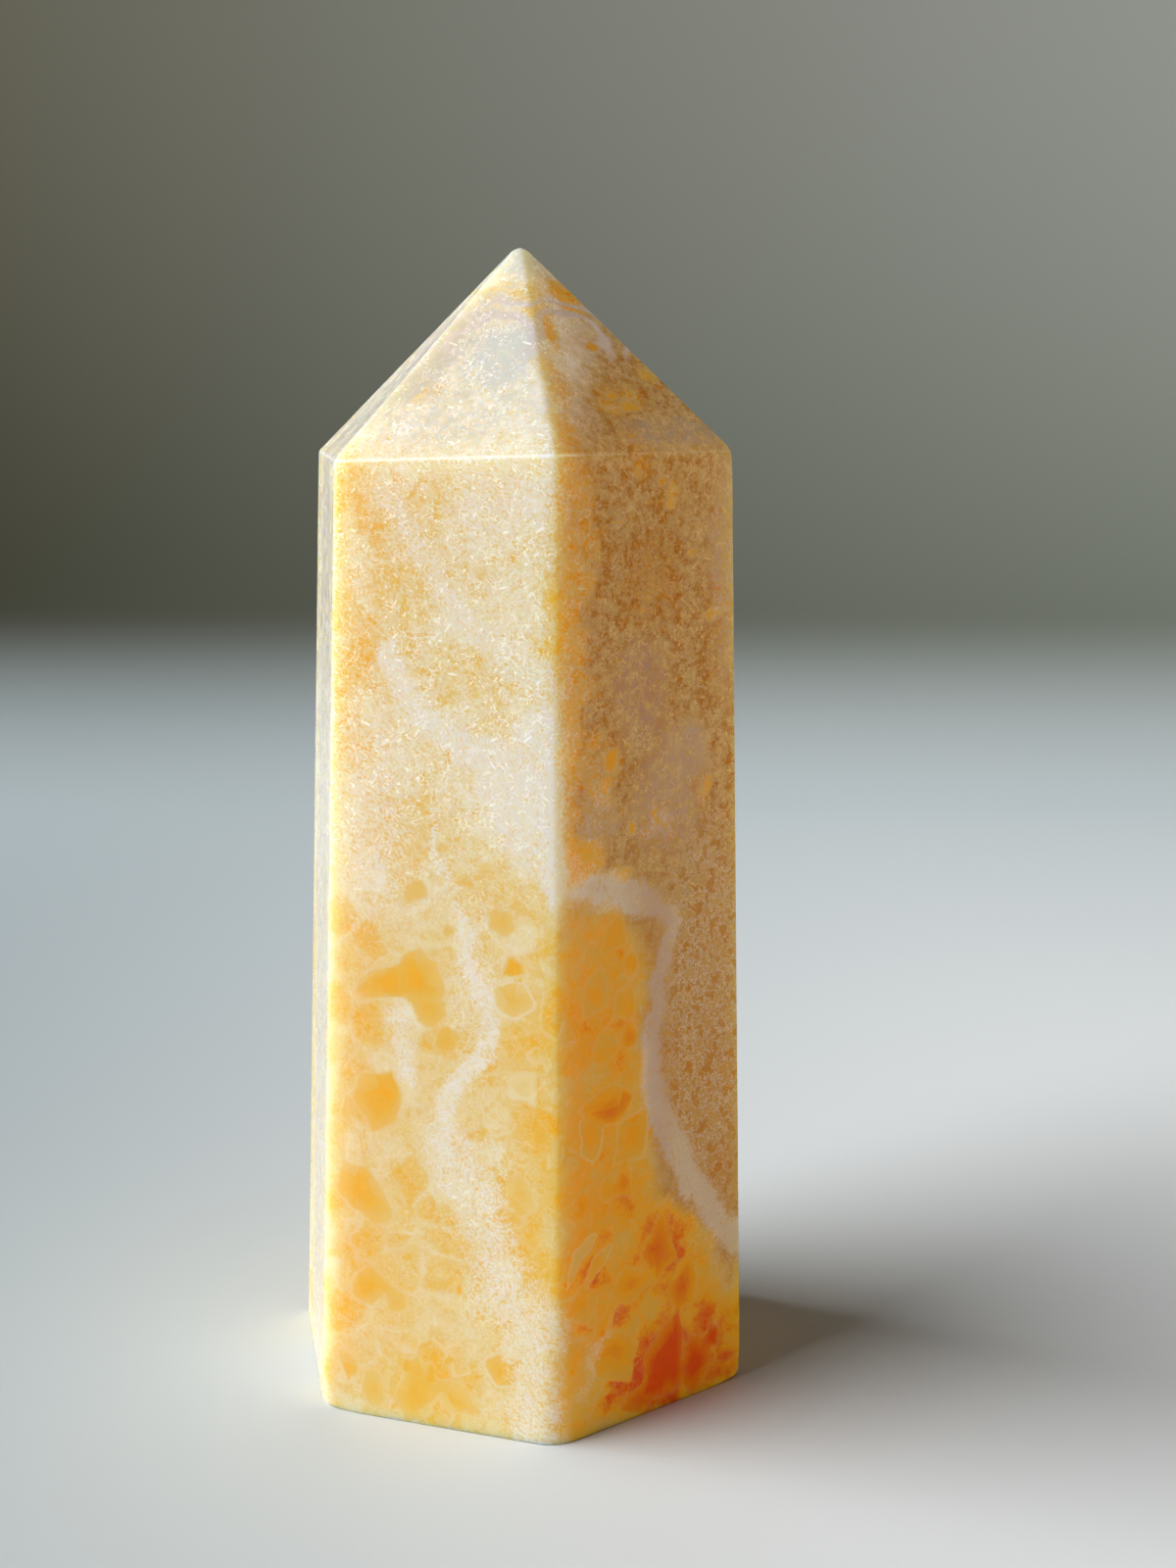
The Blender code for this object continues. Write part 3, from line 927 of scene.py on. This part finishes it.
    # Growth bands round the point: thin shells about a centre inside the stone
    out = put("VectorMath", (bent, BAND_CENTRE), operation="DISTANCE").outputs["Value"]
    wave = put("Math", (out, BAND_WAVES), operation="MULTIPLY")
    wave = put("Math", (wave,), operation="SINE")
    stripe = put("MapRange", (wave, -0.6, 0.6, 0.05, 0.9))
    shell_in = put("MapRange", (out, *BAND_INNER), **EASED)
    shell_out = put("MapRange", (out, *BAND_OUTER), **EASED)
    high = put("MapRange", (height, *BANDS_START))
    for share in (shell_in, shell_out, high):
        stripe = put("Math", (stripe, share), operation="MULTIPLY")
    # Painted light: the bands are paler where the warm shade is painted
    band = put("Mix", (read["tan"], linear(BAND_ON_CREAM), linear(BAND_PALER_IN_SHADE)), **COLOURS)
    colour = put("Mix", (stripe, colour, band), **COLOURS)

    # Painted glints in the sugar: one short needle of cleavage in each small cell, turned at random,
    # drawn bright, fainter where shade or reflection is painted and warmer in the painted shade
    cells = put("TexVoronoi", {"Vector": here, "Scale": 1 / NEEDLE_SPACING})
    away = put("VectorMath", (here, cells.outputs["Position"]), operation="SUBTRACT")
    lean = put("VectorMath", (cells.outputs["Color"], (0.5, 0.5, 0.5)), operation="SUBTRACT")
    lean = put("VectorMath", (lean,), operation="NORMALIZE")
    along = put("VectorMath", (away, lean), operation="DOT_PRODUCT").outputs["Value"]
    foot = put("VectorMath", {0: lean, "Scale": along}, operation="SCALE")
    across = put("VectorMath", (away, foot), operation="SUBTRACT")
    across = put("VectorMath", (across,), operation="LENGTH").outputs["Value"]
    glint_needle = put("MapRange", (across, *NEEDLE_HALF_WIDTH), **EASED)
    reach = put("Math", (along,), operation="ABSOLUTE")
    short = put("MapRange", (reach, *NEEDLE_HALF_LENGTH))
    needle_chance = put("SeparateColor", (cells.outputs["Color"],)).outputs[0]
    brightness = put("MapRange", (needle_chance, 0.2, 0.8))
    strength = put("MapRange", (sugary, 0.0, 1.0, 0.15, 0.85))
    for share in (short, brightness, strength):
        glint_needle = put("Math", (glint_needle, share), operation="MULTIPLY")
    glint_needle = put("Math", (glint_needle, curl_glint), operation="MAXIMUM")
    on_pale = put("MapRange", (read["ground"], 0.3, 0.5, 1.0, 0.45))
    shaded = put("Math", (read["tan"], read["grey"]), operation="MAXIMUM")
    on_light = put("MapRange", (shaded, 0.0, 1.0, 1.0, 0.75))
    for share in (outside, on_pale, on_light):
        glint_needle = put("Math", (glint_needle, share), operation="MULTIPLY")
    sparkle = put("Mix", (read["tan"], linear(SPARKLE), linear(SPARKLE_IN_SHADE)), **COLOURS)
    colour = put("Mix", (glint_needle, colour, sparkle), **COLOURS)

    # Painted highlight: the shoulder's edge is drawn as one thin pale line, as if it caught the light,
    # fainter on the shaded side
    edge_light = put("MapRange", (read["tan"], 0.0, 1.0, 0.7, 0.08))
    edge_light = put("Math", (edge_light, read["shoulder"]), operation="MULTIPLY")
    colour = put("Mix", (edge_light, colour, linear(SPARKLE)), **COLOURS)

    # A hand polish, a little duller from grain to grain. Light sinks in less deeply at the foot,
    # where it would leak out through the base.
    dull = put("MapRange", (grain_chance.outputs[1], 0.0, 1.0, 0.16, 0.3))
    bump = put("Bump", {"Height": fibre, "Strength": 0.12, "Distance": 0.00003})
    shallow = put("MapRange", (height, 0.0, FOOT_TOP, FOOT_SINKS * MM, MM), **EASED)
    tree.links.new(colour.outputs[2], shader.inputs["Base Color"])
    tree.links.new(dull.outputs[0], shader.inputs["Roughness"])
    tree.links.new(bump.outputs[0], shader.inputs["Normal"])
    tree.links.new(shallow.outputs[0], shader.inputs["Subsurface Scale"])
    shader.inputs["IOR"].default_value = CALCITE_IOR
    shader.inputs["Specular IOR Level"].default_value = GLOSS
    shader.inputs["Subsurface Weight"].default_value = 1.0
    shader.inputs["Subsurface Radius"].default_value = SINKS
    return material


# The studio

# Colours of the floor: beside the tower, to its left, where painted shade darkens it, and far
# behind it
FLOOR = "#FAFDFF"
FLOOR_LEFT_SHADE = "#ABB8BF"
FLOOR_FAR = "#C9D6DC"

# Colours of the backdrop from left to right, low down and high up
BACKDROP_LOW = ("#302D14", "#8F958A")
BACKDROP_HIGH = ("#7E7B68", "#C4C6BF")

# Where those colours change over, in metres: across the floor, back along it, across the
# backdrop, up it, and from one to the other
FLOOR_ACROSS = (-0.12, 0.08)
FLOOR_BACK = (0.05, 0.24)
FLOOR_FAR_SHARE = 0.75
WALL_ACROSS = (-0.25, 0.3)
WALL_UP = (0.0, 0.24)
FLOOR_TO_WALL = (0.2, 0.58)

# The sheet's shape, in metres
SHEET = dict(half_width=1.4, front=-0.6, back=0.55, bend=0.3, steps=16, top=1.3)

# How the matt paint takes the light
PAINT_ROUGHNESS = 0.85
PAINT_GLOSS = 0.2


def painted_sweep():
    """Matt painted studio sweep: pale where the tower stands, fading to olive grey far behind."""
    material = bpy.data.materials.new("matt_studio_sweep")
    material.use_nodes = True
    tree = material.node_tree
    shader = tree.nodes["Principled BSDF"]
    put = partial(add, tree)
    place = put("TexCoord").outputs["Object"]
    across, back, up = put("SeparateXYZ", (place,)).outputs
    # Painted shade: the floor goes darker to the tower's left
    to_right = put("MapRange", (across, *FLOOR_ACROSS), **EASED)
    floor = put("Mix", (to_right, linear(FLOOR_LEFT_SHADE), linear(FLOOR)), **COLOURS)
    far = put("MapRange", (back, *FLOOR_BACK, 0.0, FLOOR_FAR_SHARE))
    floor = put("Mix", (far, floor, linear(FLOOR_FAR)), **COLOURS)
    to_right = put("MapRange", (across, *WALL_ACROSS))
    low, high = (
        put("Mix", (to_right, linear(left), linear(right)), **COLOURS)
        for left, right in (BACKDROP_LOW, BACKDROP_HIGH))
    rise = put("MapRange", (up, *WALL_UP))
    wall = put("Mix", (rise, low, high), **COLOURS)
    fade = put("MapRange", (back, *FLOOR_TO_WALL), **EASED)
    colour = put("Mix", (fade, floor, wall), **COLOURS)
    tree.links.new(colour.outputs[2], shader.inputs["Base Color"])
    shader.inputs["Roughness"].default_value = PAINT_ROUGHNESS
    shader.inputs["Specular IOR Level"].default_value = PAINT_GLOSS
    return material


def build_sweep():
    """One sheet: flat under the tower, then a wide curve up into the backdrop."""
    back, bend, steps = SHEET["back"], SHEET["bend"], SHEET["steps"]
    profile = [(SHEET["front"], 0.0), (0.0, 0.0), (back, 0.0)]
    for step in range(1, steps + 1):
        angle = math.radians(90.0 * step / steps)
        profile.append((back + bend * math.sin(angle), bend - bend * math.cos(angle)))
    profile.append((back + bend, SHEET["top"]))
    verts = [(x, y, z) for y, z in profile for x in (-SHEET["half_width"], SHEET["half_width"])]
    faces = [(2 * i, 2 * i + 1, 2 * i + 3, 2 * i + 2) for i in range(len(profile) - 1)]
    mesh = bpy.data.meshes.new("floor")
    mesh.from_pydata(verts, [], faces)
    mesh.shade_smooth()
    floor = stand("floor", mesh)
    mesh.materials.append(painted_sweep())


def aim_lamp(name, at, size, energy, colour):
    """Stand a flat rectangular lamp at a place and turn it towards the tower's middle."""
    lamp = bpy.data.lights.new(name, "AREA")
    lamp.shape = "RECTANGLE"
    lamp.size, lamp.size_y = size
    lamp.energy = energy
    lamp.color = colour
    holder = stand(name, lamp)
    holder.location = at
    holder.rotation_euler = (Vector((0.0, 0.0, 0.04)) - Vector(at)).to_track_quat("-Z", "Y").to_euler()
    return holder


def light_tower(tower):
    """A wide soft window at the left, a warm card for the stone alone, and a faint room."""
    aim_lamp("window", at=(-8.0, -1.0, 4.4), size=(10.5, 8.0), energy=1640.0, colour=(1.0, 1.0, 0.99))
    # The card stands for light that a clear stone carries through from its bright side
    card = aim_lamp("warm_card", at=(0.5, -0.5, 0.2), size=(0.5, 0.5), energy=1.8, colour=(1.0, 0.74, 0.46))
    only_stone = bpy.data.collections.new("lit_by_warm_card")
    only_stone.objects.link(tower)
    card.light_linking.receiver_collection = only_stone
    world = bpy.data.worlds.new("room")
    bpy.context.scene.world = world
    world.use_nodes = True
    air = world.node_tree.nodes["Background"]
    air.inputs["Color"].default_value = (0.85, 0.93, 1.0, 1.0)
    air.inputs["Strength"].default_value = 0.035


def place_camera():
    """Stand the camera where the photograph was taken from."""
    down, right_turn, roll = (math.radians(a) for a in (CAMERA_DOWN, CAMERA_TO_RIGHT, CAMERA_ROLL))
    level = Vector((math.sin(right_turn), math.cos(right_turn), 0.0))
    side = Vector((math.cos(right_turn), -math.sin(right_turn), 0.0))
    upright = Vector((0.0, 0.0, 1.0))
    forward = level * math.cos(down) - upright * math.sin(down)
    raised = upright * math.cos(down) + level * math.sin(down)
    right = side * math.cos(roll) + raised * math.sin(roll)
    up = raised * math.cos(roll) - side * math.sin(roll)
    data = bpy.data.cameras.new("camera")
    data.sensor_fit = "VERTICAL"
    data.sensor_height = SENSOR
    data.sensor_width = SENSOR
    data.lens = CAMERA_LENS
    data.clip_start = 0.01
    camera = stand("camera", data)
    turned = Matrix((right, up, -forward)).transposed().to_4x4()
    turned.translation = Vector(CAMERA_AT) * MM
    camera.matrix_world = turned
    bpy.context.scene.camera = camera


def make_tower():
    """The polished stone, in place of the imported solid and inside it."""
    lowest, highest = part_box("tower")
    planes = sort_facets(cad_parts["tower"].data, highest.z / MM)
    mesh, points = tower_mesh(*planes)
    record_growth(mesh, points, planes)
    tower = stand("calcite_tower", mesh)
    mesh.materials.append(polished_calcite())
    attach(tower, "root")
    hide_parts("tower")
    return tower


bpy.context.scene.view_settings.view_transform = "Standard"
place_camera()
build_sweep()
light_tower(make_tower())
